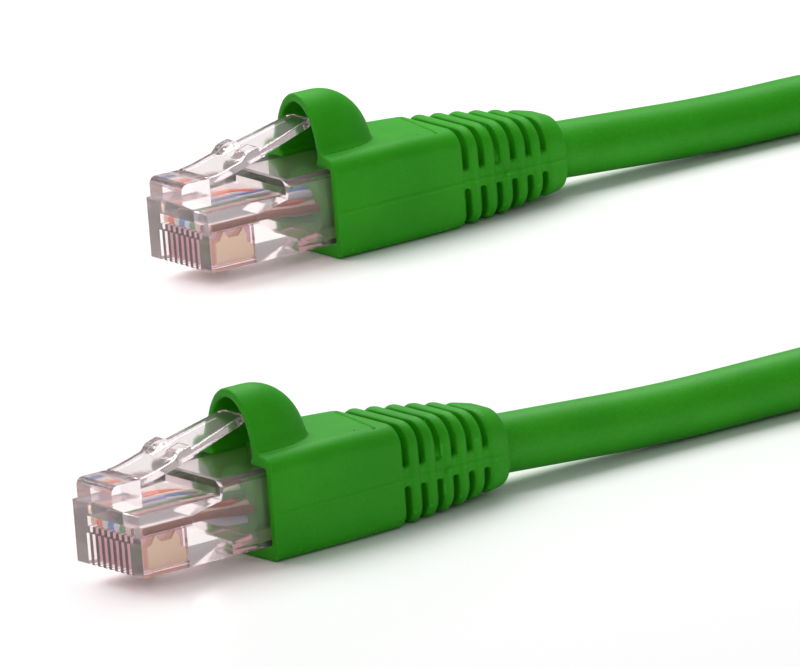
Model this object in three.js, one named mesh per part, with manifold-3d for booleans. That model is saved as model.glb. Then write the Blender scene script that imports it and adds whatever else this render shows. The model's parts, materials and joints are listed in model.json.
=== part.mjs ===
// Snagless ethernet patch cable, about 0.3 m long, with a clear eight-way plug and a moulded green boot on
// each end. Millimetres, +Z up. It lies on the plane z = 0 with both plugs pointing to -X and the cable
// looping between them. The origin is under the centre of the whole footprint.
import * as THREE from "three";
import { mergeVertices } from "three/addons/utils/BufferGeometryUtils.js";
import Module from "manifold-3d";

const wasm = await Module();
wasm.setup();

// Layout of the two ends, each measured from its own plug nose.
const END_OFFSET = [79, 99.5]; // end b from end a, along X and Y
const END_TURN = THREE.MathUtils.degToRad(-1.7); // end b about Z
const FOOTPRINT_CENTRE = [91.7, 49.5];
const PLUG_LIFT = 1.7; // underside of the plug above the underside of the boot
const AXIS_Z = 3.5; // cable axis inside the plug, above its underside
const FIT_GAP = 0.03; // between parts that are moulded or pressed together

// Eight-way modular plug.
const PLUG_WIDTH = 11.68;
const PLUG_LENGTH = 21.46;
const NOSE_HEIGHT = 6.5;
const REAR_HEIGHT = 8.0;
const STEP_X = 10.1; // where the plug steps up to its full height
const EDGE_CHAMFER = 0.6;
const CONTACT_COUNT = 8;
const CONTACT_PITCH = 1.016;
const CONTACT_THICKNESS = 0.35;
const CONTACT_SLOT_WIDTH = 0.5;
const CONTACT_SLOT_END = 6.5;
const COMB_HEIGHT = 3.3; // top of the open slots in the nose
const NOSE_WALL = 1.0;
const WIRE_ROW_Z = 4.35;
const CHANNEL = { halfWidth: 4.1, bottom: 3.85, top: 4.9, end: 8 };
// Cavity behind the channels, in X and Z: a funnel for the wires that opens into the chamber of the jacket.
const CAVITY_HALF_WIDTH = 4.4;
const CAVITY_FLOOR = 0.36;
const CAVITY_PROFILE = [
  [7, 4.0],
  [10.2, 1.9],
  [12.2, 1.0],
  [13.8, CAVITY_FLOOR],
  [30, CAVITY_FLOOR],
  [30, 7.0],
  [11.2, 7.0],
  [10.8, 5.7],
  [7, 4.9],
];
const CRIMP = { start: 12.4, end: 15.4, windowEnd: 16.2, halfWidth: 2.5, window: 2.6, top: 0.82 };

// Latch: a base block on the nose and a sprung tab.
const LATCH_BASE = { front: -1.2, back: 2.4, halfWidth: 3.1, bottom: 7.2, top: 9.4, round: 0.8 };
const LATCH_ROOT = [3.2, 9.05]; // X and Z of the bending line
const LATCH_ANGLE = THREE.MathUtils.degToRad(14.8);
const LATCH_LENGTH = 13.9;
const LATCH_THICKNESS = 0.9;
const LATCH_SHOULDER = 6.2;
const LATCH_HALF_WIDTHS = [3.0, 2.7, 2.0]; // to the locking shoulders, behind them and at the free end
const LATCH_TIP_CORNER = 0.8;
const LATCH_RAMP = { start: 3.8, crest: 4.8, height: 0.55, inner: 0.9 };

// Moulded boot.
const BOOT_FRONT = 15.8;
const BOOT_END = 47.5;
const BOOT_ARC_STEPS = 4;
const BOOT_STATIONS = [
  // X, half width, bottom, top, lower and upper corner radius
  [BOOT_FRONT, 6.85, -PLUG_LIFT, 9.3, 1.1, 1.8],
  [26, 6.6, -PLUG_LIFT, 9.35, 1.2, 1.9],
  [32, 6.35, -PLUG_LIFT, 9.1, 1.5, 2.1],
  [36, 5.95, -PLUG_LIFT, 8.8, 2.0, 2.5],
  [40, 5.45, -1.6, 8.4, 2.3, 2.7],
  [44, 4.85, -1.35, 7.8, 2.6, 2.9],
  [46.4, 4.35, -1.2, 7.25, 2.7, 3.1],
  [47.1, 4.1, -1.05, 7.0, 2.7, 3.1],
  [BOOT_END, 3.75, -0.7, 6.65, 2.6, 3.0],
];
const SLOT = { count: 6, start: 32.62, pitch: 2.19, width: 0.8, depth: 1.5 };
const WEB = { halfHeight: 1.0, front: 3.52, slope: -0.05 }; // height at the first slot and its fall along X
const HOOD = {
  front: BOOT_FRONT,
  crown: 18.3,
  halfWidth: 4.3,
  floor: 8.6,
  top: 15.55,
  backRadius: 6.3, // from the crown to the back of the bubble
  wall: 0.9,
};
const TAB_WELL = { end: 20.2, halfWidth: 3.3 };

// Cable: jacket, four twisted pairs and the flex planes behind the boots.
const JACKET_RADIUS = 3.1;
const JACKET_BORE = 2.55;
const JACKET_SIDES = 16;
const JACKET_START = 14.4;
const JACKET_STEPS = 13;
const FLEX_X = 66;
const FLEX_GAP = 1.5; // lets the cable swing 25 degrees each way
const JACKET_LENGTH = FLEX_X - FLEX_GAP / 2 - JACKET_START;
// The cable droops from the boot to the ground: it starts to bend at the first X, falls evenly from the
// second to the third and lies flat from the fourth.
const SAG = { start: 24, even: 47, settle: 62, rest: 76, slope: 0.062 };
const WIRE_RADIUS = 0.44;
const WIRE_SIDES = 5;
const WIRE_TIP = 1.3;
const PAIR_OFFSET = 1.36;
const PAIR_TWIST_RADIUS = 0.47;
const PAIR_LAY = 27;
const TWIST_POINTS = 16;
const FAN_START = 8;
const LOOP = { straightA: 94, straightB: 77, handleA: 84, handleB: 52 };
const LOOP_STEPS = 26;
const LOOP_TURNS = 3;

const PAIRS = [
  { name: "orange", pins: [1, 2], side: 1, up: 0 },
  { name: "green", pins: [3, 6], side: 0, up: 1 },
  { name: "blue", pins: [5, 4], side: 0, up: -1 },
  { name: "brown", pins: [7, 8], side: -1, up: 0 },
];

const material = (color, roughness, metalness = 0) =>
  new THREE.MeshStandardMaterial({ color, roughness, metalness });
const CLEAR = material(0xe8eaee, 0.08);
const GOLD = material(0xe6be82, 0.25, 1);
const BOOT_GREEN = material(0x2a7a18, 0.5);
const JACKET_GREEN = material(0x2a7a18, 0.42);
const WIRE_COLOURS = {
  white_orange: 0xf2d9c8,
  orange: 0xe0561e,
  white_green: 0xdcebd8,
  green: 0x2c7a32,
  white_blue: 0xd6e2f0,
  blue: 0x2c6fb0,
  white_brown: 0xe6d8cc,
  brown: 0x6e4224,
};

// ---- solids ----

function toSolid(geometry) {
  const bare = geometry.index ? geometry.toNonIndexed() : geometry.clone();
  bare.deleteAttribute("normal");
  bare.deleteAttribute("uv");
  const merged = mergeVertices(bare, 1e-4);
  return new wasm.Manifold(
    new wasm.Mesh({
      numProp: 3,
      vertProperties: merged.attributes.position.array,
      triVerts: new Uint32Array(merged.index.array),
    }),
  );
}

function toGeometry(solid) {
  const mesh = solid.getMesh();
  const geometry = new THREE.BufferGeometry();
  geometry.setAttribute("position", new THREE.BufferAttribute(mesh.vertProperties, 3));
  geometry.setIndex(new THREE.BufferAttribute(mesh.triVerts, 1));
  return geometry.toNonIndexed();
}

function cut(solid, cutters) {
  return cutters.reduce((rest, cutter) => rest.subtract(cutter), solid);
}

function join(solids) {
  return solids.reduce((sum, solid) => sum.add(solid));
}

function box([x0, x1], [y0, y1], [z0, z1]) {
  const geometry = new THREE.BoxGeometry(x1 - x0, y1 - y0, z1 - z0);
  geometry.translate((x0 + x1) / 2, (y0 + y1) / 2, (z0 + z1) / 2);
  return toSolid(geometry);
}

// A profile drawn in X and Z, given its width across Y.
function slab(shape, width, centreY = 0) {
  const options = { depth: width, bevelEnabled: false, curveSegments: 5 };
  const geometry = new THREE.ExtrudeGeometry(shape, options);
  geometry.applyMatrix4(
    new THREE.Matrix4().makeBasis(
      new THREE.Vector3(1, 0, 0),
      new THREE.Vector3(0, 0, 1),
      new THREE.Vector3(0, -1, 0),
    ),
  );
  geometry.translate(0, centreY + width / 2, 0);
  return geometry;
}

// A section drawn in Y and Z, carried along X.
function barGeometry(shape, x0, length, steps = 1, curveSegments = 5) {
  const options = { depth: length, bevelEnabled: false, steps, curveSegments };
  const geometry = new THREE.ExtrudeGeometry(shape, options);
  geometry.applyMatrix4(
    new THREE.Matrix4().makeBasis(
      new THREE.Vector3(0, 1, 0),
      new THREE.Vector3(0, 0, 1),
      new THREE.Vector3(1, 0, 0),
    ),
  );
  geometry.translate(x0, 0, 0);
  return geometry;
}

function polygon(points) {
  return new THREE.Shape(points.map(([x, y]) => new THREE.Vector2(x, y)));
}

function circlePoints(radius, sides) {
  return Array.from({ length: sides }, (_, i) => {
    const angle = (2 * Math.PI * (i + 0.5)) / sides;
    return [radius * Math.cos(angle), radius * Math.sin(angle)];
  });
}

function roundedRectangle(halfWidth, bottom, top, low, high) {
  const shape = new THREE.Shape();
  shape.moveTo(-halfWidth + low, bottom);
  shape.absarc(halfWidth - low, bottom + low, low, -Math.PI / 2, 0);
  shape.absarc(halfWidth - high, top - high, high, 0, Math.PI / 2);
  shape.absarc(-halfWidth + high, top - high, high, Math.PI / 2, Math.PI);
  shape.absarc(-halfWidth + low, bottom + low, low, Math.PI, 1.5 * Math.PI);
  return shape;
}

function namedMesh(name, geometry, look) {
  const mesh = new THREE.Mesh(geometry, look);
  mesh.name = name;
  return mesh;
}

// Height of the drooping cable axis at a distance behind the plug nose.
function axisHeight(x) {
  const { start, even, settle, rest, slope } = SAG;
  const bend = THREE.MathUtils.clamp(x, start, even) - start;
  const fall = THREE.MathUtils.clamp(x, even, settle) - even;
  const level = THREE.MathUtils.clamp(x, settle, rest) - settle;
  const levelLength = rest - settle;
  return (
    AXIS_Z -
    slope * (bend ** 2 / (2 * (even - start)) + fall + level - level ** 2 / (2 * levelLength))
  );
}

// Moves geometry that was built round the X axis onto the drooping cable axis.
function droop(geometry) {
  const at = geometry.attributes.position;
  for (let i = 0; i < at.count; i += 1) at.setZ(i, at.getZ(i) + axisHeight(at.getX(i)));
  return geometry;
}

// ---- plug ----

const pinY = (pin) => ((CONTACT_COUNT + 1) / 2 - pin) * CONTACT_PITCH;

function plugHousing() {
  const half = PLUG_WIDTH / 2;
  const nose = box([0, STEP_X + 0.5], [-half, half], [0, NOSE_HEIGHT]);
  const rearSection = polygon([
    [-half, 0],
    [half, 0],
    [half, REAR_HEIGHT - EDGE_CHAMFER],
    [half - EDGE_CHAMFER, REAR_HEIGHT],
    [-half + EDGE_CHAMFER, REAR_HEIGHT],
    [-half, REAR_HEIGHT - EDGE_CHAMFER],
  ]);
  const rear = toSolid(barGeometry(rearSection, STEP_X, PLUG_LENGTH - STEP_X));
  const base = LATCH_BASE;
  const baseProfile = new THREE.Shape();
  baseProfile.moveTo(0, NOSE_HEIGHT - 0.5);
  baseProfile.lineTo(base.back, NOSE_HEIGHT - 0.5);
  baseProfile.lineTo(base.back, base.top);
  baseProfile.lineTo(base.front + base.round, base.top);
  baseProfile.absarc(base.front + base.round, base.top - base.round, base.round, Math.PI / 2, Math.PI);
  baseProfile.lineTo(base.front, base.bottom);
  baseProfile.lineTo(0, NOSE_HEIGHT);
  const latchBase = toSolid(slab(baseProfile, 2 * base.halfWidth));
  const cutters = [
    box([NOSE_WALL, CHANNEL.end], [-CHANNEL.halfWidth, CHANNEL.halfWidth], [CHANNEL.bottom, CHANNEL.top]),
    toSolid(slab(polygon(CAVITY_PROFILE), 2 * CAVITY_HALF_WIDTH)),
    box([CRIMP.start, CRIMP.windowEnd], [-CRIMP.window, CRIMP.window], [-1, CRIMP.top + 0.1]),
  ];
  for (let pin = 1; pin <= CONTACT_COUNT; pin += 1) {
    const y = [pinY(pin) - CONTACT_SLOT_WIDTH / 2, pinY(pin) + CONTACT_SLOT_WIDTH / 2];
    cutters.push(box([-1, NOSE_WALL + 0.1], y, [-1, COMB_HEIGHT]));
    cutters.push(box([NOSE_WALL, CONTACT_SLOT_END], y, [-1, CHANNEL.bottom + 0.1]));
  }
  const flap = polygon([
    [CRIMP.start - 0.2, 0],
    [CRIMP.end, 0.25],
    [CRIMP.end, CRIMP.top],
    [CRIMP.start - 0.2, CRIMP.top - 0.3],
  ]);
  return toGeometry(
    cut(join([nose, rear, latchBase]), cutters).add(toSolid(slab(flap, 2 * CRIMP.halfWidth))),
  );
}

// Insulation-displacement blade with two piercing teeth under the wire.
function contactBlade(pin) {
  const blade = polygon([
    [1.6, 0.3],
    [6.1, 0.3],
    [6.3, 0.7],
    [6.3, 1.7],
    [5.6, 2.1],
    [5.6, 2.9],
    [5.2, 3.8],
    [4.6, 3.0],
    [3.3, 3.0],
    [2.7, 3.8],
    [2.2, 2.9],
    [1.6, 2.7],
  ]);
  return slab(blade, CONTACT_THICKNESS, pinY(pin));
}

function latchTab() {
  const [wide, narrow, tip] = LATCH_HALF_WIDTHS;
  const corner = LATCH_TIP_CORNER;
  const plan = new THREE.Shape();
  plan.moveTo(0, -wide);
  plan.lineTo(LATCH_SHOULDER, -wide);
  plan.lineTo(LATCH_SHOULDER, -narrow);
  plan.lineTo(LATCH_LENGTH - corner, -tip);
  plan.lineTo(LATCH_LENGTH, -tip + corner);
  plan.lineTo(LATCH_LENGTH, tip - corner);
  plan.lineTo(LATCH_LENGTH - corner, tip);
  plan.lineTo(LATCH_SHOULDER, narrow);
  plan.lineTo(LATCH_SHOULDER, wide);
  plan.lineTo(0, wide);
  const strip = new THREE.ExtrudeGeometry(plan, { depth: LATCH_THICKNESS, bevelEnabled: false });
  strip.translate(0, 0, -LATCH_THICKNESS / 2);
  const rampTop = LATCH_THICKNESS / 2 + LATCH_RAMP.height;
  const ramp = polygon([
    [LATCH_RAMP.start, 0],
    [LATCH_SHOULDER, 0],
    [LATCH_SHOULDER, rampTop],
    [LATCH_RAMP.crest, rampTop],
    [LATCH_RAMP.start, LATCH_THICKNESS / 2 - 0.05],
  ]);
  const rampWidth = wide - LATCH_RAMP.inner;
  const ramps = [-1, 1].map((side) =>
    toSolid(slab(ramp, rampWidth, side * (LATCH_RAMP.inner + rampWidth / 2))),
  );
  return toGeometry(join([toSolid(strip), ...ramps]));
}

// ---- boot ----

// Values of the boot section at any X, read between its stations.
function bootSectionAt(x) {
  const next = BOOT_STATIONS.findIndex(([station]) => station >= x) || 1;
  const before = BOOT_STATIONS[next - 1];
  const after = BOOT_STATIONS[next];
  const share = (x - before[0]) / (after[0] - before[0]);
  return before.slice(1).map((value, i) => THREE.MathUtils.lerp(value, after[i + 1], share));
}

// Outer form of the boot: each ring of the sweep takes the section of its own station.
function bootBody() {
  const steps = BOOT_STATIONS.length - 1;
  const sections = BOOT_STATIONS.map(([, ...section]) => roundedRectangle(...section));
  const rings = sections.map((section) => section.getPoints(BOOT_ARC_STEPS));
  const geometry = barGeometry(sections[0], 0, steps, steps, BOOT_ARC_STEPS);
  const at = geometry.attributes.position;
  for (let i = 0; i < at.count; i += 1) {
    const station = Math.round(at.getX(i));
    const near = ({ x, y }) => Math.hypot(x - at.getY(i), y - at.getZ(i));
    const corner = rings[0].reduce((best, point, k) => (near(point) < near(rings[0][best]) ? k : best), 0);
    at.setXYZ(i, BOOT_STATIONS[station][0], rings[station][corner].x, rings[station][corner].y);
  }
  return toSolid(geometry);
}

// Cutter for one strain relief slot: a ring down to a rubber core, broken by the web on each side.
function slotCutter(x) {
  const [halfWidth, bottom, top, low, high] = bootSectionAt(x + SLOT.width / 2);
  const core = roundedRectangle(
    halfWidth - SLOT.depth,
    bottom + SLOT.depth,
    top - SLOT.depth,
    low * 0.7,
    high * 0.7,
  );
  const webZ = WEB.front + WEB.slope * (x - SLOT.start);
  const web = box([x - 1, x + 2], [-20, 20], [webZ - WEB.halfHeight, webZ + WEB.halfHeight]);
  const solidCore = toSolid(barGeometry(core, x - 1, 3, 1, 3));
  return cut(box([x, x + SLOT.width], [-9, 9], [-5, 14]), [solidCore, web]);
}

// Closed bubble over the end of the latch tab, open to the front.
function hoodForm(inset, front) {
  const halfWidth = HOOD.halfWidth - inset;
  const height = HOOD.top - HOOD.floor - inset;
  const arch = new THREE.Shape();
  arch.moveTo(halfWidth, HOOD.floor);
  arch.absellipse(0, HOOD.floor, halfWidth, height, 0, Math.PI);
  const tunnel = toSolid(barGeometry(arch, front, HOOD.crown - front, 1, 10));
  const ball = new THREE.SphereGeometry(1, 20, 10);
  ball.rotateX(Math.PI / 2);
  ball.scale(HOOD.backRadius - inset, halfWidth, height);
  ball.translate(HOOD.crown, 0, HOOD.floor);
  const back = toSolid(ball).intersect(box([HOOD.crown - 0.05, 60], [-20, 20], [HOOD.floor, 40]));
  return tunnel.add(back);
}

function boot() {
  const half = PLUG_WIDTH / 2 + FIT_GAP;
  const boreShape = polygon(circlePoints(JACKET_RADIUS + FIT_GAP, JACKET_SIDES));
  const bore = toSolid(droop(barGeometry(boreShape, JACKET_START, JACKET_LENGTH, JACKET_STEPS)));
  const pocket = box([0, PLUG_LENGTH + FIT_GAP], [-half, half], [-FIT_GAP, REAR_HEIGHT + FIT_GAP]);
  const tabWell = box([0, TAB_WELL.end], [-TAB_WELL.halfWidth, TAB_WELL.halfWidth], [REAR_HEIGHT, 9.4]);
  const slots = Array.from({ length: SLOT.count }, (_, i) => slotCutter(SLOT.start + i * SLOT.pitch));
  const hollow = hoodForm(HOOD.wall, HOOD.front - 1);
  const shell = bootBody().add(hoodForm(0, HOOD.front));
  return toGeometry(cut(shell, [hollow, tabWell, pocket, bore, ...slots]));
}

// ---- cable ----

function ringShape() {
  const ring = polygon(circlePoints(JACKET_RADIUS, JACKET_SIDES));
  ring.holes.push(new THREE.Path(polygon(circlePoints(JACKET_BORE, JACKET_SIDES)).getPoints()));
  return ring;
}

function jacketEnd() {
  const tube = toSolid(droop(barGeometry(ringShape(), JACKET_START, JACKET_LENGTH, JACKET_STEPS)));
  // Dented by the crimp flap of the plug.
  const dentX = [JACKET_START - 1, CRIMP.end + 0.1];
  const dent = box(dentX, [-CRIMP.window, CRIMP.window], [-1, CRIMP.top + 0.06]);
  return toGeometry(tube.subtract(dent));
}

function wireAlong(points) {
  const path = new THREE.CatmullRomCurve3(points, false, "centripetal");
  return new THREE.ExtrudeGeometry(polygon(circlePoints(WIRE_RADIUS, WIRE_SIDES)), {
    steps: points.length,
    extrudePath: path,
  });
}

// Position of a wire in its twisted pair, across and above the cable axis.
function pairPoint(pair, upSign, strand, turns) {
  const firstSide = pair.pins[0] < pair.pins[1] ? 0 : 0.5;
  const angle = 2 * Math.PI * (turns + firstSide + strand / 2);
  return [
    pair.side * PAIR_OFFSET + PAIR_TWIST_RADIUS * Math.cos(angle),
    pair.up * upSign * PAIR_OFFSET + PAIR_TWIST_RADIUS * Math.sin(angle),
  ];
}

// From the contact, flat through the plug, then twisted with its partner as far as the flex plane.
function wireEnd(pair, strand, upSign) {
  const y = pinY(pair.pins[strand]);
  const points = [WIRE_TIP, 5, FAN_START].map((x) => new THREE.Vector3(x, y, WIRE_ROW_Z));
  for (let i = 0; i <= TWIST_POINTS; i += 1) {
    const x = JACKET_START + (JACKET_LENGTH * i) / TWIST_POINTS;
    const [across, above] = pairPoint(pair, upSign, strand, (x - JACKET_START) / PAIR_LAY);
    points.push(new THREE.Vector3(x, across, axisHeight(x) + above));
  }
  return wireAlong(points);
}

// Centre line of the free cable from flex plane a round to flex plane b.
function loopCurve() {
  const alongA = (x) => new THREE.Vector3(x, 0, PLUG_LIFT + axisHeight(x));
  const alongB = (x) =>
    new THREE.Vector3(x, 0, PLUG_LIFT + axisHeight(x))
      .applyAxisAngle(new THREE.Vector3(0, 0, 1), END_TURN)
      .add(new THREE.Vector3(...END_OFFSET, 0));
  const bendA = alongA(LOOP.straightA);
  const bendB = alongB(LOOP.straightB);
  const settle = [FLEX_X + FLEX_GAP / 2, 71, SAG.rest];
  const curve = new THREE.CurvePath();
  curve.add(new THREE.LineCurve3(alongA(settle[0]), alongA(settle[1])));
  curve.add(new THREE.LineCurve3(alongA(settle[1]), alongA(settle[2])));
  curve.add(new THREE.LineCurve3(alongA(settle[2]), bendA));
  curve.add(
    new THREE.CubicBezierCurve3(
      bendA,
      alongA(LOOP.straightA + LOOP.handleA),
      alongB(LOOP.straightB + LOOP.handleB),
      bendB,
    ),
  );
  curve.add(new THREE.LineCurve3(bendB, alongB(settle[2])));
  curve.add(new THREE.LineCurve3(alongB(settle[2]), alongB(settle[1])));
  curve.add(new THREE.LineCurve3(alongB(settle[1]), alongB(settle[0])));
  return curve;
}

function loopStations() {
  const curve = loopCurve();
  const up = new THREE.Vector3(0, 0, 1);
  return Array.from({ length: LOOP_STEPS + 1 }, (_, i) => {
    const u = i / LOOP_STEPS;
    const tangent = curve.getTangentAt(u);
    const side = new THREE.Vector3().crossVectors(up, tangent).normalize();
    return { u, centre: curve.getPointAt(u), side, above: new THREE.Vector3().crossVectors(tangent, side) };
  });
}

function loopWire(pair, strand) {
  const points = loopStations().map(({ u, centre, side, above }) => {
    const [across, height] = pairPoint(pair, 1, strand, LOOP_TURNS * u);
    // The bundle rolls half a turn so that the pairs arrive in order at end b.
    const roll = Math.PI * u;
    const a = across * Math.cos(roll) - height * Math.sin(roll);
    const b = across * Math.sin(roll) + height * Math.cos(roll);
    return centre.clone().addScaledVector(side, a).addScaledVector(above, b);
  });
  return wireAlong(points);
}

function jacketLoop() {
  const path = new THREE.CatmullRomCurve3(loopStations().map(({ centre }) => centre), false, "centripetal");
  return new THREE.ExtrudeGeometry(ringShape(), { steps: LOOP_STEPS, extrudePath: path });
}

const strandName = (pair, strand) => (strand === 0 ? `white_${pair.name}` : pair.name);

// ---- assembly ----

function cableEnd(letter, upSign) {
  const end = new THREE.Group();
  end.add(namedMesh(`plug_housing_${letter}`, plugHousing(), CLEAR));
  const tab = namedMesh(`latch_tab_${letter}`, latchTab(), CLEAR);
  tab.position.set(LATCH_ROOT[0], 0, LATCH_ROOT[1]);
  tab.rotation.y = -LATCH_ANGLE;
  end.add(tab);
  for (let pin = 1; pin <= CONTACT_COUNT; pin += 1) {
    end.add(namedMesh(`contact_${letter}_${pin}`, contactBlade(pin), GOLD));
  }
  end.add(namedMesh(`boot_${letter}`, boot(), BOOT_GREEN));
  end.add(namedMesh(`cable_jacket_${letter}`, jacketEnd(), JACKET_GREEN));
  for (const pair of PAIRS) {
    for (const strand of [0, 1]) {
      const name = strandName(pair, strand);
      const look = material(WIRE_COLOURS[name], 0.5);
      end.add(namedMesh(`wire_${letter}_${name}`, wireEnd(pair, strand, upSign), look));
    }
  }
  end.position.z = PLUG_LIFT;
  return end;
}

function cableLoop() {
  const loop = new THREE.Group();
  loop.add(namedMesh("cable_jacket_loop", jacketLoop(), JACKET_GREEN));
  for (const pair of PAIRS) {
    for (const strand of [0, 1]) {
      const name = strandName(pair, strand);
      loop.add(namedMesh(`wire_loop_${name}`, loopWire(pair, strand), material(WIRE_COLOURS[name], 0.5)));
    }
  }
  return loop;
}

const endA = cableEnd("a", 1);
const endB = cableEnd("b", -1);
endB.position.x = END_OFFSET[0];
endB.position.y = END_OFFSET[1];
endB.rotation.z = END_TURN;

const group = new THREE.Group();
group.add(endA, endB, cableLoop());
group.position.set(-FOOTPRINT_CENTRE[0], -FOOTPRINT_CENTRE[1], 0);

export default group;
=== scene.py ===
"""Looks for the snagless ethernet patch cable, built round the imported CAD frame. Metres, +Z up."""

import json
import math

import bmesh
import bpy
from mathutils import Matrix, Vector


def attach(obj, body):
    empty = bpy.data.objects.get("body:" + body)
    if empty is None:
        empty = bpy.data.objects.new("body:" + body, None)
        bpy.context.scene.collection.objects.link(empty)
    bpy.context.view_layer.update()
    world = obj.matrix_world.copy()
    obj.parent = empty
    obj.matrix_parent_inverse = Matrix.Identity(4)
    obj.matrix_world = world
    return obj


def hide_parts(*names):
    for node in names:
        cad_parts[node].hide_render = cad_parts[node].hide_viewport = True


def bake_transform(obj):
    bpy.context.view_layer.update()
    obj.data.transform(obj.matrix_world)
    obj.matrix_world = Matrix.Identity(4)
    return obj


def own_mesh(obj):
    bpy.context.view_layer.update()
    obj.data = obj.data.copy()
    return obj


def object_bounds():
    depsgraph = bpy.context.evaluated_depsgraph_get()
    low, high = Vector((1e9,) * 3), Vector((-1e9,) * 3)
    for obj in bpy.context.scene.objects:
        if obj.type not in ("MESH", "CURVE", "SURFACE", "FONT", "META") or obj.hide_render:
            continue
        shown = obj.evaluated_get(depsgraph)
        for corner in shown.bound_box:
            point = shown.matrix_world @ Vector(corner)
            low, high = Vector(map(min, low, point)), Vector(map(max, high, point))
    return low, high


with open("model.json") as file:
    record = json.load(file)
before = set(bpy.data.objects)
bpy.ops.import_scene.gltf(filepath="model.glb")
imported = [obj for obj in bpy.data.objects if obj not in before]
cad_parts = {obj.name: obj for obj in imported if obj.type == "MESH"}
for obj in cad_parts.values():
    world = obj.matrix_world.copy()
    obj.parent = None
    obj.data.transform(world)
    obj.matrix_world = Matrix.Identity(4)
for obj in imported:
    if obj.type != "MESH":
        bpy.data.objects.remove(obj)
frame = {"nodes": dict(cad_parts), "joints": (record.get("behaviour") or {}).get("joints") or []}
cad_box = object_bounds()

MM = 0.001
ENDS = ("a", "b")
JOINTS = {joint["name"]: joint for joint in frame["joints"]}

# Plug and boot dimensions in millimetres, measured from the plug nose and the plug underside.
LATCH_ROOT = (3.2, 9.05)
FLEX_X = 66.0
AXIS_Z = 3.5
PLUG_LIFT = 1.7
PLUG_HALF = 5.84
PLUG_LENGTH = 21.46
REAR_HEIGHT = 8.0
FIT_GAP = 0.03
BOOT_FRONT = 15.8
BOOT_END = 47.5
BOOT_TOP = 9.35
STATIONS = (
    # X, half width, bottom, top, lower and upper corner radius
    (15.8, 6.85, -1.7, 9.3, 1.1, 1.8),
    (26.0, 6.6, -1.7, 9.35, 1.2, 1.9),
    (32.0, 6.35, -1.7, 9.1, 1.5, 2.1),
    (36.0, 5.95, -1.68, 8.8, 2.0, 2.5),
    (40.0, 5.45, -1.58, 8.4, 2.3, 2.7),
    (44.0, 4.85, -1.35, 7.8, 2.6, 2.9),
    (46.2, 4.4, -1.2, 7.3, 2.7, 3.1),
    (47.5, 4.15, -1.1, 7.05, 2.7, 3.1),
)
BOOT_LIP = 0.12
LIP_LENGTH = 0.15
TAIL_ROUND = 1.0
TAIL_SHRINK = 0.8  # how much of its rounding the tail end loses in width and height
COARSE_START, COARSE_COUNT = 16.5, 15  # rings every millimetre along the sleeve
FINE_START, FINE_STEP, FINE_COUNT = 31.6, 0.16, 93  # closer rings along the ribs
SLOT_START = 32.62
SLOT_PITCH = 2.19
SLOT_WIDTH = 0.8
SLOT_DEPTH = 1.5
SLOT_COUNT = 6
SLOT_SCALLOP = 0.3  # how far the ribs round off into a slot
SCALLOP_REACH = (0.3, 0.95)  # from a slot's middle: where the rounding starts to fade and ends
SCALLOP_FADE = 0.5
SLOT_CORNERS = 0.7  # corner radii of the core under the slots, as a share of those outside
SHALLOW_SLOT = 2
WEB_Z = 3.52
WEB_SLOPE = -0.05
WEB_HALF = 1.0
PAD_INSET = 0.75  # the pad in the shallow slot lies this far below the surface
PAD_SHOULDER, PAD_TOP = 5.0, 8.0  # and slopes away inwards between these two heights
PAD_INNER = -3
PAD_OVERLAP = 0.5
SEAM_Z, SEAM_SLOPE, SEAM_RISE, SEAM_REACH = 3.32, 0.045, 0.09, 0.22
NUB, NUB_RISE, NUB_REACH = (38.45, 3.03), 0.3, 0.42  # X and Z of the gate nub on the near web
GROOVE_X, GROOVE_SLANT, GROOVE_DEPTH, GROOVE_REACH = 31.05, 0.168, 0.42, 0.24
GROOVE_ENDS = (-4.9, 4.7)
PITS, PIT_DEPTH, PIT_REACH = ((30.24, -4.8), (28.3, -4.4)), 0.3, 0.36
HOOD_FRONT = 15.8
HOOD_CROWN = 18.3
HOOD_HALF = 4.3
HOOD_FLOOR = 8.6
HOOD_TOP = 15.55
HOOD_BACK = 6.3
HOOD_WALL = (0.7, 0.95)  # at the sides and on top
HOOD_FLARE = 1.3  # fillet where the hood grows out of the boot
HOOD_FLARE_RISE = 2.0
HOOD_SEAT = BOOT_TOP + 0.12
JACKET_RADIUS = 3.1
JACKET_START = 14.4
BORE_GAP = 0.04
TAB_WELL_END, TAB_WELL_HALF = 20.2, 3.3
BOOT_VOXEL, TAB_VOXEL = 0.135, 0.09
SHEATH_START = 16.2
# The axis droops along a curve, a straight fall and a second curve that levels out.
SAG_START, SAG_EVEN, SAG_SETTLE, SAG_REST, SAG_SLOPE = 24.0, 47.0, 62.0, 76.0, 0.062
BLEND_REACH = 13  # a length on each side of the flex plane
SHEATH_STEP = 0.8
CONTACT_PITCH = 1.016
WIRE_RADIUS = 0.44
WIRE_ROW_Z = 4.35
LATCH_ANGLE = math.radians(14.8)
LATCH_START = -0.7
LATCH_LENGTH = 13.9
LATCH_THICKNESS = 0.9
LATCH_BEND = 1.4  # half the length over which the tab curves up from its block
LATCH_HALF_WIDTHS = (3.0, 2.7, 2.0)  # to the shoulders, behind them and at the tip
RAMP_START, RAMP_CREST, LATCH_SHOULDER = 3.8, 4.8, 6.2
RAMP_HEIGHT = 0.55
RAMP_INNER = 0.9

PLASTIC_IOR = 1.46
PLASTIC_MILK = 0.05
# Rose colour of the painted glow that rays deep inside the clear plastic emit
PLASTIC_GLOW_COLOUR = (0.50, 0.31, 0.33)
PLASTIC_WALLS = 3.5  # crossings after which a ray takes the painted rose glow

FLOOR_SIZE = 3.0
WORLD_STRENGTH = 0.35

CAMERA_AZIMUTH = math.radians(34.56)
CAMERA_DIP = math.radians(13.93)
CAMERA_ROLL = math.radians(-4.82)
CAMERA_DISTANCE = 2.5
CAMERA_LENS = 1073.6
CAMERA_AIM = Vector((-0.01200, 0.01143, 0.0))


# ---------- places ----------


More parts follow.
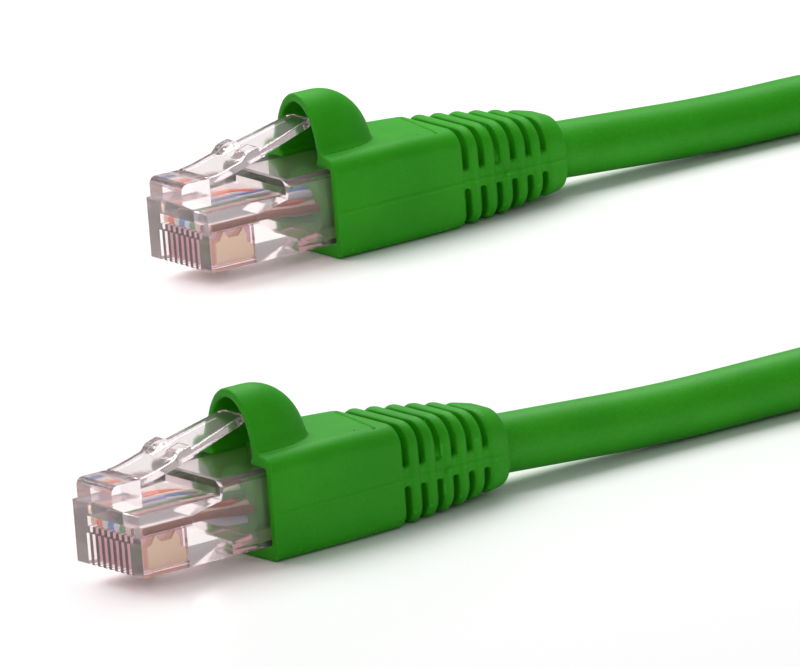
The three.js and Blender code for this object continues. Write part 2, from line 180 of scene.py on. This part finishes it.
def end_matrix(letter):
    """From millimetres in the plug's own frame to metres in the row frame."""
    root = Vector(JOINTS[f"latch_{letter}_press"]["pos_m"])
    flex = Vector(JOINTS[f"cable_flex_{letter}"]["pos_m"])
    along = Vector((flex.x - root.x, flex.y - root.y, 0)).normalized()
    turn = math.atan2(along.y, along.x)
    nose = Vector((root.x, root.y, 0)) - along * LATCH_ROOT[0] * MM
    nose.z = PLUG_LIFT * MM
    return Matrix.Translation(nose) @ Matrix.Rotation(turn, 4, "Z") @ Matrix.Scale(MM, 4)


PLACE = {letter: end_matrix(letter) for letter in ENDS}


# ---------- mesh helpers ----------


def mesh_object(name, vertices, faces):
    mesh = bpy.data.meshes.new(name)
    mesh.from_pydata(vertices, [], faces)
    mesh.validate()
    obj = bpy.data.objects.new(name, mesh)
    bpy.context.scene.collection.objects.link(obj)
    work = bmesh.new()
    work.from_mesh(mesh)
    bmesh.ops.recalc_face_normals(work, faces=work.faces)
    work.to_mesh(mesh)
    work.free()
    return obj


def loft(name, rings):
    """Quads between equal rings of points, with the two ends filled."""
    count = len(rings[0])
    vertices = [tuple(p) for ring in rings for p in ring]
    faces = []
    for i in range(len(rings) - 1):
        a = i * count
        b = a + count
        for k in range(count):
            n = (k + 1) % count
            faces.append((a + k, a + n, b + n, b + k))
    faces.append(tuple(range(count))[::-1])
    faces.append(tuple(range((len(rings) - 1) * count, len(rings) * count)))
    return mesh_object(name, vertices, faces)


def cuboid(name, xs, ys, zs):
    vertices = [(x, y, z) for x in xs for y in ys for z in zs]
    faces = [(0, 1, 3, 2), (4, 6, 7, 5), (0, 4, 5, 1), (2, 3, 7, 6), (0, 2, 6, 4), (1, 5, 7, 3)]
    return mesh_object(name, vertices, faces)


def apply_modifiers(obj):
    depsgraph = bpy.context.evaluated_depsgraph_get()
    mesh = bpy.data.meshes.new_from_object(obj.evaluated_get(depsgraph))
    obj.modifiers.clear()
    old = obj.data
    obj.data = mesh
    bpy.data.meshes.remove(old)


def soften(obj, voxel, rounds):
    """Remesh into small voxels and smooth, so that every edge is rounded as moulded plastic is."""
    remesh = obj.modifiers.new("remesh", "REMESH")
    remesh.mode = "VOXEL"
    remesh.voxel_size = voxel
    smooth = obj.modifiers.new("smooth", "SMOOTH")
    smooth.factor = 0.5
    smooth.iterations = rounds
    apply_modifiers(obj)


def combine(target, others, operation):
    """Boolean with each of the others in turn, which are used up."""
    for other in others:
        modifier = target.modifiers.new("boolean", "BOOLEAN")
        modifier.operation = operation
        modifier.solver = "MANIFOLD"
        modifier.object = other
        apply_modifiers(target)
        mesh = other.data
        bpy.data.objects.remove(other)
        bpy.data.meshes.remove(mesh)
    return target


def smooth_shade(obj):
    """Smooth all round, with flat end caps."""
    for polygon in obj.data.polygons:
        polygon.use_smooth = len(polygon.vertices) <= 4


def arc(cx, cy, radius, start, stop, steps):
    return [
        (cx + radius * math.cos(math.radians(t)), cy + radius * math.sin(math.radians(t)))
        for t in [start + (stop - start) * i / steps for i in range(steps + 1)]
    ]


def boot_section(half, bottom, top, low, high, steps=10):
    """Section in Y and Z, with one radius for its two lower corners and one for the upper."""
    points = arc(half - low, bottom + low, low, -90, 0, steps)
    points += arc(half - high, top - high, high, 0, 90, steps)
    points += arc(-half + high, top - high, high, 90, 180, steps)
    points += arc(-half + low, bottom + low, low, 180, 270, steps)
    return points


def section_at(x):
    """Half width, bottom, top and the two corner radii of the boot at X, eased between stations."""
    values = []
    for place in (x - 1.0, x, x + 1.0):
        place = min(max(place, STATIONS[0][0]), STATIONS[-1][0])
        for low, high in zip(STATIONS, STATIONS[1:]):
            if place <= high[0]:
                share = (place - low[0]) / (high[0] - low[0])
                values.append([a + (b - a) * share for a, b in zip(low[1:], high[1:])])
                break
    return [sum(column) / len(values) for column in zip(*values)]


def axis_height(x):
    """Height of the drooping cable axis."""
    bend = min(max(x, SAG_START), SAG_EVEN) - SAG_START
    fall = min(max(x, SAG_EVEN), SAG_SETTLE) - SAG_EVEN
    level = min(max(x, SAG_SETTLE), SAG_REST) - SAG_SETTLE
    drop = bend**2 / (2 * (SAG_EVEN - SAG_START)) + fall
    drop += level - level**2 / (2 * (SAG_REST - SAG_SETTLE))
    return AXIS_Z - SAG_SLOPE * drop


def web_height(x):
    return WEB_Z + WEB_SLOPE * (x - SLOT_START)


def ease(value, low, high):
    """0 up to low and 1 from high on, with a smooth rise between them."""
    t = min(max((value - low) / (high - low), 0.0), 1.0)
    return t * t * (3 - 2 * t)


# ---------- materials ----------


def new_material(name):
    material = bpy.data.materials.new(name)
    material.use_nodes = True
    nodes = material.node_tree.nodes
    nodes.clear()
    return material, nodes, material.node_tree.links


def add(nodes, kind, inputs=None, **settings):
    """A new node, with the values of its inputs by name or number and its other settings."""
    node = nodes.new(kind)
    for key, value in settings.items():
        setattr(node, key, value)
    for key, value in (inputs or {}).items():
        node.inputs[key].default_value = value
    return node


def colour_ramp(nodes, low, high, ends=(0.0, 1.0)):
    ramp = add(nodes, "ShaderNodeValToRGB")
    for element, colour, position in zip(ramp.color_ramp.elements, (low, high), ends):
        element.color = (*colour, 1)
        element.position = position
    return ramp


def grained(name, colour, light, roughness, grain, bump, specular=0.5, edge_pale=0.0):
    """Moulded or extruded plastic: mottled colour, fine grain in roughness and height, colour paler on
    convex edges.
    """
    material, nodes, links = new_material(name)
    output = add(nodes, "ShaderNodeOutputMaterial")
    shader = add(nodes, "ShaderNodeBsdfPrincipled", {"Specular IOR Level": specular})
    place = add(nodes, "ShaderNodeTexCoord")
    cloud = add(nodes, "ShaderNodeTexNoise", {"Scale": 120.0, "Detail": 3.0})
    ramp = colour_ramp(nodes, colour, light, (0.4, 0.62))
    surface = add(nodes, "ShaderNodeNewGeometry")
    # Convex edges, found by Pointiness, are given a paler colour.
    edges = add(nodes, "ShaderNodeMapRange", {"From Min": 0.52, "From Max": 0.62, "To Max": edge_pale})
    pale_edge_colour = (*[min(1.0, c * 1.5 + 0.02) for c in light], 1)
    pale_edges = add(nodes, "ShaderNodeMix", data_type="RGBA")
    pale_edges.inputs[7].default_value = pale_edge_colour
    fine = add(nodes, "ShaderNodeTexNoise", {"Scale": grain, "Detail": 4.0})
    rough_range = {"To Min": roughness - 0.06, "To Max": roughness + 0.08}
    rough = add(nodes, "ShaderNodeMapRange", rough_range)
    relief = add(nodes, "ShaderNodeBump", {"Strength": bump, "Distance": 0.00006})
    speckle = add(nodes, "ShaderNodeMix", {"Factor": 0.45})
    links.new(place.outputs["Object"], cloud.inputs["Vector"])
    links.new(place.outputs["Object"], fine.inputs["Vector"])
    links.new(cloud.outputs["Fac"], speckle.inputs["A"])
    links.new(fine.outputs["Fac"], speckle.inputs["B"])
    links.new(speckle.outputs["Result"], ramp.inputs["Fac"])
    links.new(surface.outputs["Pointiness"], edges.inputs["Value"])
    links.new(edges.outputs["Result"], pale_edges.inputs[0])
    links.new(ramp.outputs["Color"], pale_edges.inputs[6])
    links.new(pale_edges.outputs[2], shader.inputs["Base Color"])
    links.new(fine.outputs["Fac"], rough.inputs["Value"])
    links.new(rough.outputs["Result"], shader.inputs["Roughness"])
    links.new(fine.outputs["Fac"], relief.inputs["Height"])
    links.new(relief.outputs["Normal"], shader.inputs["Normal"])
    links.new(shader.outputs["BSDF"], output.inputs["Surface"])
    return material


def clear_plastic(name):
    """Polished polycarbonate: clear, faintly rose and milky, with slight moulding ripples, and a
    painted rose glow where rays have crossed many walls.
    """
    material, nodes, links = new_material(name)
    output = add(nodes, "ShaderNodeOutputMaterial")
    place = add(nodes, "ShaderNodeTexCoord")
    ripple = add(nodes, "ShaderNodeTexNoise", {"Scale": 260.0, "Detail": 2.0})
    rough = add(nodes, "ShaderNodeMapRange", {"To Min": 0.03, "To Max": 0.12})
    relief = add(nodes, "ShaderNodeBump", {"Strength": 0.12, "Distance": 0.0001})
    glass = add(nodes, "ShaderNodeBsdfGlass", {"Color": (0.99, 0.955, 0.96, 1), "IOR": PLASTIC_IOR})
    milk = add(nodes, "ShaderNodeBsdfTranslucent", {"Color": (0.97, 0.93, 0.94, 1)})
    body = add(nodes, "ShaderNodeMixShader", {"Fac": PLASTIC_MILK})
    links.new(place.outputs["Object"], ripple.inputs["Vector"])
    links.new(ripple.outputs["Fac"], rough.inputs["Value"])
    links.new(ripple.outputs["Fac"], relief.inputs["Height"])
    links.new(rough.outputs["Result"], glass.inputs["Roughness"])
    links.new(relief.outputs["Normal"], glass.inputs["Normal"])
    links.new(glass.outputs["BSDF"], body.inputs[1])
    links.new(milk.outputs["BSDF"], body.inputs[2])
    # A ray that has crossed many walls would end black, so it gets a painted rose glow, emitted as
    # light.
    path = add(nodes, "ShaderNodeLightPath")
    deep = add(nodes, "ShaderNodeMath", {1: PLASTIC_WALLS}, operation="GREATER_THAN")
    glow = add(nodes, "ShaderNodeEmission", {"Color": (*PLASTIC_GLOW_COLOUR, 1)})
    layered = add(nodes, "ShaderNodeMixShader")
    links.new(path.outputs["Transmission Depth"], deep.inputs[0])
    links.new(deep.outputs["Value"], layered.inputs["Fac"])
    links.new(body.outputs["Shader"], layered.inputs[1])
    links.new(glow.outputs["Emission"], layered.inputs[2])
    # Its shadow is a light rose tint, in place of a caustic.
    veil = add(nodes, "ShaderNodeBsdfTransparent", {"Color": (0.80, 0.72, 0.74, 1)})
    shaded = add(nodes, "ShaderNodeMixShader")
    links.new(path.outputs["Is Shadow Ray"], shaded.inputs["Fac"])
    links.new(layered.outputs["Shader"], shaded.inputs[1])
    links.new(veil.outputs["BSDF"], shaded.inputs[2])
    links.new(shaded.outputs["Shader"], output.inputs["Surface"])
    return material


def gold(name):
    """Gold flash over stamped bronze, brushed along the blade."""
    material, nodes, links = new_material(name)
    output = add(nodes, "ShaderNodeOutputMaterial")
    shader = add(nodes, "ShaderNodeBsdfPrincipled", {"Metallic": 0.6})
    place = add(nodes, "ShaderNodeTexCoord")
    stretch = add(nodes, "ShaderNodeMapping", {"Scale": (1.0, 8.0, 8.0)})
    scratch = add(nodes, "ShaderNodeTexNoise", {"Scale": 900.0, "Detail": 5.0})
    ramp = colour_ramp(nodes, (0.90, 0.70, 0.46), (1.0, 0.87, 0.66))
    rough = add(nodes, "ShaderNodeMapRange", {"To Min": 0.28, "To Max": 0.48})
    relief = add(nodes, "ShaderNodeBump", {"Strength": 0.15, "Distance": 0.00002})
    links.new(place.outputs["Object"], stretch.inputs["Vector"])
    links.new(stretch.outputs["Vector"], scratch.inputs["Vector"])
    links.new(scratch.outputs["Fac"], ramp.inputs["Fac"])
    links.new(ramp.outputs["Color"], shader.inputs["Base Color"])
    links.new(scratch.outputs["Fac"], rough.inputs["Value"])
    links.new(rough.outputs["Result"], shader.inputs["Roughness"])
    links.new(scratch.outputs["Fac"], relief.inputs["Height"])
    links.new(relief.outputs["Normal"], shader.inputs["Normal"])
    links.new(shader.outputs["BSDF"], output.inputs["Surface"])
    return material


def dress(obj, material):
    obj.data.materials.clear()
    obj.data.materials.append(material)


# ---------- boot ----------


def slot_centres():
    return [SLOT_START + i * SLOT_PITCH + SLOT_WIDTH / 2 for i in range(SLOT_COUNT)]


def boot_shell():
    """The outer form: sleeve and tapered tail, with ribs that round off into the slots."""
    places = [BOOT_FRONT, BOOT_FRONT + LIP_LENGTH]
    places += [COARSE_START + i for i in range(COARSE_COUNT)]
    places += [FINE_START + i * FINE_STEP for i in range(FINE_COUNT)]
    places += [
        BOOT_END - TAIL_ROUND * (1 - math.sin(math.radians(angle)))
        for angle in (15, 30, 45, 60, 75, 90)
    ]
    rings = []
    for x in sorted(places):
        half, bottom, top, low, high = section_at(x)
        lip = BOOT_LIP if x == BOOT_FRONT else 0.0
        past = max(0.0, x - (BOOT_END - TAIL_ROUND)) / TAIL_ROUND
        lip += TAIL_ROUND * (1 - math.sqrt(max(0.0, 1 - past**2))) * TAIL_SHRINK
        section = boot_section(half - lip, bottom + lip, top - lip, low, high)
        nearest = min(abs(x - centre) for centre in slot_centres())
        scallop = SLOT_SCALLOP * (1 - ease(nearest, *SCALLOP_REACH))
        middle = (top + bottom) / 2
        ring = []
        for y, z in section:
            inset = scallop * ease(abs(z - web_height(x)), WEB_HALF, WEB_HALF + SCALLOP_FADE)
            height = middle + (z - middle) * (1 - inset / (top - middle))
            ring.append((x, y * (1 - inset / half), height))
        rings.append(ring)
    return loft("boot_shell", rings)


def hood_form(name, side_inset, top_inset, front):
    """Half-elliptical tunnel closed at the back by a rounded end."""
    half = HOOD_HALF - side_inset
    height = HOOD_TOP - HOOD_FLOOR - top_inset
    back = HOOD_BACK - top_inset
    steps = 32
    rings = [(x, 1.0) for x in (front, (front + HOOD_CROWN) / 2, HOOD_CROWN)]
    for i in range(1, 16):
        t = math.radians(90 * i / 16)
        rings.append((HOOD_CROWN + back * math.sin(t), math.cos(t)))
    sections = []
    for x, share in rings:
        ring = []
        for k in range(steps + 1):
            angle = math.pi * k / steps
            rise = height * share * math.sin(angle)
            low = max(0.0, 1 - rise / HOOD_FLARE_RISE)
            flare = 0.0 if side_inset else HOOD_FLARE * low**2
            y = half * share * math.cos(angle)
            ring.append((x, y + math.copysign(flare, y) * share, HOOD_FLOOR + rise))
        sections.append(ring)
    return loft(name, sections)


def slot_cutters():
    """A slice for each slot, less the core and the webs, and less the pad in the shallow slot."""
    cutters = []
    for i, centre in enumerate(slot_centres()):
        half, bottom, top, low, high = section_at(centre)
        x = centre - SLOT_WIDTH / 2
        ring = cuboid("slot", (x, x + SLOT_WIDTH), (-9, 9), (-5, 14))
        depth = SLOT_DEPTH
        corners = (low * SLOT_CORNERS, high * SLOT_CORNERS)
        core_section = boot_section(half - depth, bottom + depth, top - depth, *corners, 6)
        core = loft("core", [[(x + s, y, z) for y, z in core_section] for s in (-1, 2)])
        web_z = web_height(centre)
        web = cuboid("web", (x - 1, x + 2), (-20, 20), (web_z - WEB_HALF, web_z + WEB_HALF))
        blockers = [core, web]
        if i == SHALLOW_SLOT:
            across, upright = (PAD_INSET - half, PAD_INNER), (web_z + PAD_OVERLAP, PAD_TOP)
            pad = cuboid("gate_pad", (x - 1, x + 2), across, upright)
            for vertex in pad.data.vertices:
                if vertex.co.z > PAD_SHOULDER and vertex.co.y < PAD_INNER:
                    vertex.co.z = PAD_SHOULDER
            blockers.append(pad)
        cutters.append(combine(ring, blockers, "DIFFERENCE"))
    return cutters


def bore_cutter():
    places = [PLUG_LENGTH - 1 + i * 2 for i in range(15)]
    circle = arc(0, 0, JACKET_RADIUS + BORE_GAP, 0, 352.5, 47)
    return loft("bore", [[(x, y, axis_height(x) + z) for y, z in circle] for x in places])


def moulded_boot():
    """The boot in one piece, with its hood, pocket, bore and slots."""
    shell = boot_shell()
    combine(shell, [hood_form("hood", 0, 0, HOOD_FRONT)], "UNION")
    side, top = HOOD_WALL
    pocket_half = PLUG_HALF + FIT_GAP
    pocket = (
        (0, PLUG_LENGTH + FIT_GAP),
        (-pocket_half, pocket_half),
        (-FIT_GAP, REAR_HEIGHT + FIT_GAP),
    )
    tab_well = ((0, TAB_WELL_END), (-TAB_WELL_HALF, TAB_WELL_HALF), (REAR_HEIGHT, BOOT_TOP))
    cutters = [
        hood_form("hollow", side, top, HOOD_FRONT - 1),
        cuboid("tab_well", *tab_well),
        cuboid("pocket", *pocket),
        bore_cutter(),
    ]
    combine(shell, cutters + slot_cutters(), "DIFFERENCE")
    soften(shell, BOOT_VOXEL, 5)
    return shell


def hat(distance, reach):
    """1 at nothing, falling to 0 at the reach."""
    return max(0.0, 1 - abs(distance) / reach)


def detail_boot(boot):
    """Parting line, gate nub, the groove across the top and two small pits beside it."""
    mesh = boot.data
    normals = [v.normal.copy() for v in mesh.vertices]
    for vertex, normal in zip(mesh.vertices, normals):
        x, y, z = vertex.co
        if abs(normal.y) > 0.7 and x > BOOT_FRONT + 0.3 and abs(y) > 3.6:
            seam = SEAM_Z - SEAM_SLOPE * max(0.0, x - SLOT_START)
            vertex.co += normal * SEAM_RISE * hat(z - seam, SEAM_REACH)
            if y < 0:
                nub = hat(math.hypot(x - NUB[0], z - NUB[1]), NUB_REACH)
                vertex.co += normal * NUB_RISE * math.sqrt(nub)
        if normal.z > 0.7 and z > 8.4:
            if GROOVE_ENDS[0] < y < GROOVE_ENDS[1]:
                groove = hat(x - GROOVE_X - GROOVE_SLANT * y, GROOVE_REACH)
                vertex.co -= normal * GROOVE_DEPTH * groove
            for pit_x, pit_y in PITS:
                pit = hat(math.hypot(x - pit_x, y - pit_y), PIT_REACH)
                vertex.co -= normal * PIT_DEPTH * pit
    mesh.update()


def split_hood(boot, letter):
    """The hood becomes its own piece."""
    hood = boot.copy()
    hood.data = boot.data.copy()
    bpy.context.scene.collection.objects.link(hood)
    for obj, outer in ((boot, True), (hood, False)):
        work = bmesh.new()
        work.from_mesh(obj.data)
        geometry = work.verts[:] + work.edges[:] + work.faces[:]
        result = bmesh.ops.bisect_plane(
            work,
            geom=geometry,
            plane_co=(0, 0, HOOD_SEAT),
            plane_no=(0, 0, 1),
            clear_outer=outer,
            clear_inner=not outer,
        )
        edges = [e for e in result["geom_cut"] if isinstance(e, bmesh.types.BMEdge)]
        bmesh.ops.holes_fill(work, edges=edges, sides=0)
        work.to_mesh(obj.data)
        work.free()
    boot.name = f"boot_shell_{letter}"
    hood.name = f"boot_hood_{letter}"
    return hood


GREEN = grained(
    "moulded_vinyl_green",
    colour=(0.020, 0.290, 0.002),
    light=(0.030, 0.345, 0.005),
    roughness=0.5,
    grain=5200.0,
    bump=0.35,
    specular=0.18,
    edge_pale=0.5,
)
JACKET = grained(
    "jacket_vinyl_green",
    colour=(0.021, 0.295, 0.002),
    light=(0.032, 0.350, 0.006),
    roughness=0.45,
    grain=3200.0,
    bump=0.25,
    specular=0.2,
    edge_pale=0.2,
)
CLEAR = clear_plastic("clear_polycarbonate")
GOLD = gold("gold_contact")

for letter in ENDS:
    boot = moulded_boot()
    detail_boot(boot)
    hood = split_hood(boot, letter)
    for piece in (boot, hood):
        smooth_shade(piece)
        dress(piece, GREEN)
        piece.data.transform(PLACE[letter])
        piece.data.update()
        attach(piece, f"end_{letter}")
    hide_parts(f"boot_{letter}")
    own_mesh(hood)


# ---------- latch ----------


def tab_point(s, y, rise):
    """A point of the tab from its distance along the strip: level at the block, then tilted up."""
    bent = min(max(s, -LATCH_BEND), LATCH_BEND) + LATCH_BEND
    climb = math.sin(LATCH_ANGLE) * (bent**2 / (4 * LATCH_BEND) + max(0.0, s - LATCH_BEND))
    lean = LATCH_ANGLE * ease(s, -LATCH_BEND, LATCH_BEND)
    return (
        LATCH_ROOT[0] + s * math.cos(LATCH_ANGLE) - rise * math.sin(lean),
        y,
        LATCH_ROOT[1] + climb + rise * math.cos(lean),
    )


def latch_tab(letter):
    """Sprung tab bent up from the nose, with ramps and locking shoulders."""
    wide, narrow, tip = LATCH_HALF_WIDTHS
    stations = [(LATCH_START + 0.5 * i, wide, 0.0) for i in range(9)]
    stations += [(RAMP_START, wide, 0.0), (RAMP_CREST - 0.2, wide, RAMP_HEIGHT * 0.9)]
    stations += [(RAMP_CREST + 0.2, wide, RAMP_HEIGHT), (LATCH_SHOULDER, wide, RAMP_HEIGHT)]
    stations += [(LATCH_SHOULDER + 0.06, narrow, 0.0)]
    free = LATCH_LENGTH - 0.6 - LATCH_SHOULDER
    for i in range(1, 12):
        stations.append((LATCH_SHOULDER + free * i / 11, narrow + (tip - narrow) * i / 11, 0.0))
    stations += [(LATCH_LENGTH - 0.2, tip - 0.25, 0.0), (LATCH_LENGTH, tip - 0.7, 0.0)]
    half = LATCH_THICKNESS / 2
    rings = []
    for s, width, ramp in stations:
        crest = half + ramp
        outline = [(-width, -half), (width, -half), (width, crest), (RAMP_INNER, crest)]
        outline += [(RAMP_INNER, half), (-RAMP_INNER, half), (-RAMP_INNER, crest), (-width, crest)]
        rings.append([tab_point(s, y, rise) for y, rise in outline])
    tab = loft("tab", rings)
    work = bmesh.new()
    work.from_mesh(tab.data)
    bmesh.ops.remove_doubles(work, verts=work.verts, dist=1e-5)
    bmesh.ops.dissolve_degenerate(work, edges=work.edges, dist=1e-5)
    bmesh.ops.recalc_face_normals(work, faces=work.faces)
    work.to_mesh(tab.data)
    work.free()
    soften(tab, TAB_VOXEL, 6)
    tab.data.transform(PLACE[letter])
    tab.name = f"latch_spring_{letter}"
    return tab


for letter in ENDS:
    tab = latch_tab(letter)
    smooth_shade(tab)
    dress(tab, CLEAR)
    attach(tab, f"latch_{letter}")
    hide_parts(f"latch_tab_{letter}")
    housing = frame["nodes"][f"plug_housing_{letter}"]
    dress(housing, CLEAR)
    bevel = housing.modifiers.new("edge", "BEVEL")
    bevel.width = 0.15 * MM
    bevel.segments = 2
    bevel.limit_method = "ANGLE"
    for number in range(1, 9):
        contact = frame["nodes"][f"contact_{letter}_{number}"]
        dress(contact, GOLD)
        bevel = contact.modifiers.new("edge", "BEVEL")
        bevel.width = 0.04 * MM
        bevel.segments = 2


# ---------- cable ----------


def tube(name, centres, radius, sides, beyond=None):
    """A round tube along a list of points, which can know the point beyond its end."""
    rings = []
    for i, centre in enumerate(centres):
        ahead = centres[i + 1] if i + 1 < len(centres) else beyond or centre
        behind = centres[max(i - 1, 0)]
        tangent = (ahead - behind).normalized()
        side = Vector((0, 0, 1)).cross(tangent)
        side = side.normalized() if side.length > 1e-6 else Vector((0, 1, 0))
        above = tangent.cross(side)
        rings.append(
            [
                centre + (side * math.cos(t) + above * math.sin(t)) * radius
                for t in [2 * math.pi * k / sides for k in range(sides)]
            ]
        )
    if beyond:
        # A ring close to the end cap keeps the shading even where two tubes meet.
        rings.insert(-1, [p.lerp(q, 0.01) for p, q in zip(rings[-1], rings[-2])])
    return loft(name, rings)


def bezier(points, t):
    """A point of the cubic curve with these four control points."""
    a, b, c, d = points
    s = 1 - t
    return a * s**3 + b * 3 * s * s * t + c * 3 * s * t * t + d * t**3


LOOP_STRAIGHT = {"a": 94.0, "b": 77.0}
LOOP_HANDLE = {"a": 84.0, "b": 52.0}


def on_axis(letter, x):
    """A point of the cable axis behind one plug, in metres."""
    return PLACE[letter] @ Vector((x, 0, axis_height(x)))


bend = [
    on_axis("a", LOOP_STRAIGHT["a"]),
    on_axis("a", LOOP_STRAIGHT["a"] + LOOP_HANDLE["a"]),
    on_axis("b", LOOP_STRAIGHT["b"] + LOOP_HANDLE["b"]),
    on_axis("b", LOOP_STRAIGHT["b"]),
]
# Each half of the loop runs to the middle, with one point beyond it.
HALF_STEPS = 60
HALVES = {
    "a": [bezier(bend, i / (2 * HALF_STEPS)) for i in range(HALF_STEPS + 2)],
    "b": [bezier(bend, 1 - i / (2 * HALF_STEPS)) for i in range(HALF_STEPS + 2)],
}

for letter in ENDS:
    straight = [
        on_axis(letter, SHEATH_START + i * SHEATH_STEP)
        for i in range(int((LOOP_STRAIGHT[letter] - SHEATH_START) / SHEATH_STEP))
    ]
    *half, beyond = HALVES[letter]
    sheath = tube(f"cable_sheath_{letter}", straight + half, JACKET_RADIUS * MM, 48, beyond)
    smooth_shade(sheath)
    dress(sheath, JACKET)
    tuple(on_axis(letter, FLEX_X - BLEND_REACH))
    tuple(on_axis(letter, FLEX_X + BLEND_REACH))
    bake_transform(sheath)
    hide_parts(f"cable_jacket_{letter}")
    if letter == "b":
        colours = [n for n in frame["nodes"] if n.startswith("wire_loop_")]
        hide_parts("cable_jacket_loop", *colours)


# ---------- wires ----------

# Contact number and insulation colour
WIRES = {
    "white_orange": (1, (0.80, 0.55, 0.42)),
    "orange": (2, (0.80, 0.13, 0.02)),
    "white_green": (3, (0.70, 0.78, 0.66)),
    "blue": (4, (0.03, 0.20, 0.55)),
    "white_blue": (5, (0.62, 0.72, 0.84)),
    "green": (6, (0.03, 0.30, 0.05)),
    "white_brown": (7, (0.78, 0.66, 0.58)),
    "brown": (8, (0.22, 0.08, 0.03)),
}
PAIR_SPOTS = {
    "orange": (1, 0, 1),
    "green": (0, 1, 3),
    "blue": (0, -1, 4),
    "brown": (-1, 0, 7),
}
PAIR_OFFSET = 1.36
PAIR_TWIST = 0.47
PAIR_LAY = 27.0


def wire_path(letter, name, pin):
    pair = name.split("_")[-1]
    across, above, first = PAIR_SPOTS[pair]
    if letter == "b":
        above = -above
    y = (4.5 - pin) * CONTACT_PITCH
    phase = 0 if pin == first else math.pi
    points = [Vector((1.3 + i * 0.6, y, WIRE_ROW_Z)) for i in range(12)]
    twist = []
    for i in range(24):
        x = JACKET_START + i * 0.6
        angle = phase + 2 * math.pi * (x - JACKET_START) / PAIR_LAY
        twist.append(
            Vector(
                (
                    x,
                    across * PAIR_OFFSET + PAIR_TWIST * math.cos(angle),
                    axis_height(x) + above * PAIR_OFFSET + PAIR_TWIST * math.sin(angle),
                )
            )
        )
    start, stop = points[-1], twist[0]
    for i in range(1, 12):
        t = i / 12
        share = ease(t, 0, 1)
        points.append(
            Vector(
                (
                    start.x + (stop.x - start.x) * t,
                    start.y + (stop.y - start.y) * share,
                    start.z + (stop.z - start.z) * share,
                )
            )
        )
    return points + twist


for letter in ENDS:
    for name, (pin, colour) in WIRES.items():
        path = [PLACE[letter] @ p for p in wire_path(letter, name, pin)]
        wire = tube(f"insulation_{letter}_{name}", path, WIRE_RADIUS * MM, 16)
        smooth_shade(wire)
        dress(wire, grained(f"insulation_{name}_{letter}", colour, colour, 0.4, 4000.0, 0.1))
        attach(wire, f"end_{letter}")
        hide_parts(f"wire_{letter}_{name}")


# ---------- stage ----------


def studio():
    """A plain pale floor, two soft area lights and an even white world."""
    low, high = cad_box
    centre = (low + high) / 2
    size = FLOOR_SIZE
    floor = mesh_object(
        "floor",
        [(-size, -size, 0), (size, -size, 0), (size, size, 0), (-size, size, 0)],
        [(0, 1, 2, 3)],
    )
    material, nodes, links = new_material("paper_floor")
    output = add(nodes, "ShaderNodeOutputMaterial")
    paper = {"Base Color": (0.95, 0.95, 0.95, 1), "Roughness": 0.35, "Specular IOR Level": 0.4}
    shader = add(nodes, "ShaderNodeBsdfPrincipled", paper)
    links.new(shader.outputs["BSDF"], output.inputs["Surface"])
    dress(floor, material)

    def area(name, place, width, power):
        light = bpy.data.lights.new(name, "AREA")
        light.shape = "RECTANGLE"
        light.size = width
        light.size_y = width * 0.7
        light.energy = power
        obj = bpy.data.objects.new(name, light)
        bpy.context.scene.collection.objects.link(obj)
        obj.location = centre + Vector(place)
        obj.rotation_euler = (-Vector(place)).to_track_quat("-Z", "Y").to_euler()

    area("overhead", place=(0.1, 0.35, 0.7), width=0.9, power=8.3)
    area("front_fill", place=(-0.5, -0.6, 0.35), width=0.5, power=0.5)

    world = bpy.data.worlds.new("studio")
    world.use_nodes = True
    background = world.node_tree.nodes["Background"]
    background.inputs["Color"].default_value = (1, 1, 1, 1)
    background.inputs["Strength"].default_value = WORLD_STRENGTH
    bpy.context.scene.world = world
    bpy.context.scene.view_settings.view_transform = "Standard"


def photo_camera():
    """A long lens at the photograph's viewing angle."""
    camera = bpy.data.cameras.new("camera")
    camera.lens = CAMERA_LENS
    camera.clip_end = 20.0
    camera.clip_start = 0.05
    obj = bpy.data.objects.new("camera", camera)
    bpy.context.scene.collection.objects.link(obj)
    forward = Vector(
        (
            math.sin(CAMERA_AZIMUTH) * math.cos(CAMERA_DIP),
            math.cos(CAMERA_AZIMUTH) * math.cos(CAMERA_DIP),
            -math.sin(CAMERA_DIP),
        )
    )
    level = Vector((math.cos(CAMERA_AZIMUTH), -math.sin(CAMERA_AZIMUTH), 0))
    upward = level.cross(forward)
    right = level * math.cos(CAMERA_ROLL) + upward * math.sin(CAMERA_ROLL)
    up = upward * math.cos(CAMERA_ROLL) - level * math.sin(CAMERA_ROLL)
    turn = Matrix((right, up, -forward)).transposed().to_4x4()
    obj.matrix_world = Matrix.Translation(CAMERA_AIM - forward * CAMERA_DISTANCE) @ turn
    bpy.context.scene.camera = obj


studio()
photo_camera()
